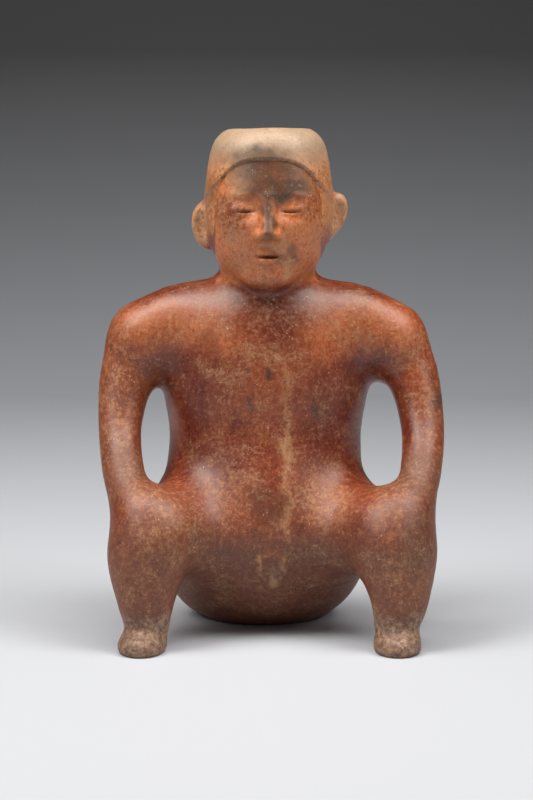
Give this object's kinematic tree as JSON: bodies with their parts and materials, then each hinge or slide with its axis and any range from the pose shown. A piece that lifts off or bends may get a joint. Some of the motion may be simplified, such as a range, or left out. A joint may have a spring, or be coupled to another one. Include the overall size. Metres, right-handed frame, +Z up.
{
  "type": "seated figure vessel",
  "caption": "Hollow red-slip clay figure of a seated person, hands on raised knees, feet flat, with a flat crown opened as the mouth of a vessel.",
  "frame": {"origin": "middle of the footprint, on the plane that the seat and both soles rest on", "axes": "+Z up through the crown, the face looks along -Y, the figure's own right side is at -X"},
  "size_m": [0.2081, 0.1615, 0.3002],
  "materials": {
    "red_slip_clay": "burnished red-brown slip, worn, with tan patches and grey fire clouds"
  },
  "bodies": {
    "root": {"figure": "red_slip_clay"}
  },
  "joints": []
}
